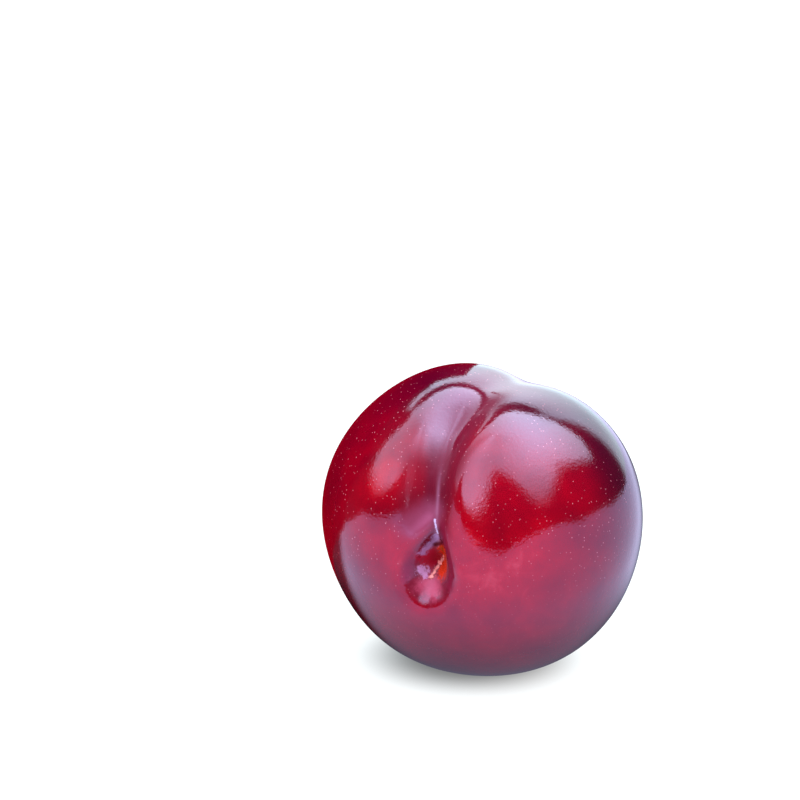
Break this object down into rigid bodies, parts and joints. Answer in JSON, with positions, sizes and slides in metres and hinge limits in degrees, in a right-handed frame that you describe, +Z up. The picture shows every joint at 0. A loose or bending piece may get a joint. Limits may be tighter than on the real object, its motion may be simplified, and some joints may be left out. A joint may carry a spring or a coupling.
{
  "type": "plum",
  "caption": "Whole ripe plum without its stalk, lying on its side, with a suture groove, a stalk cavity and a small flat spot it rests on.",
  "frame": {"origin": "on the surface that the plum rests on, under the middle of its bounding box", "axes": "+Z up, -Y towards the viewer of the stalk end, +X to the right across the two cheeks; the stalk axis points 22.5 degrees to the left of -Y and 5 degrees down"},
  "size_m": [0.0636, 0.0606, 0.0618],
  "materials": {
    "plum_skin": "glossy, with a thin bloom"
  },
  "bodies": {
    "root": {"plum": "plum_skin"}
  },
  "joints": []
}
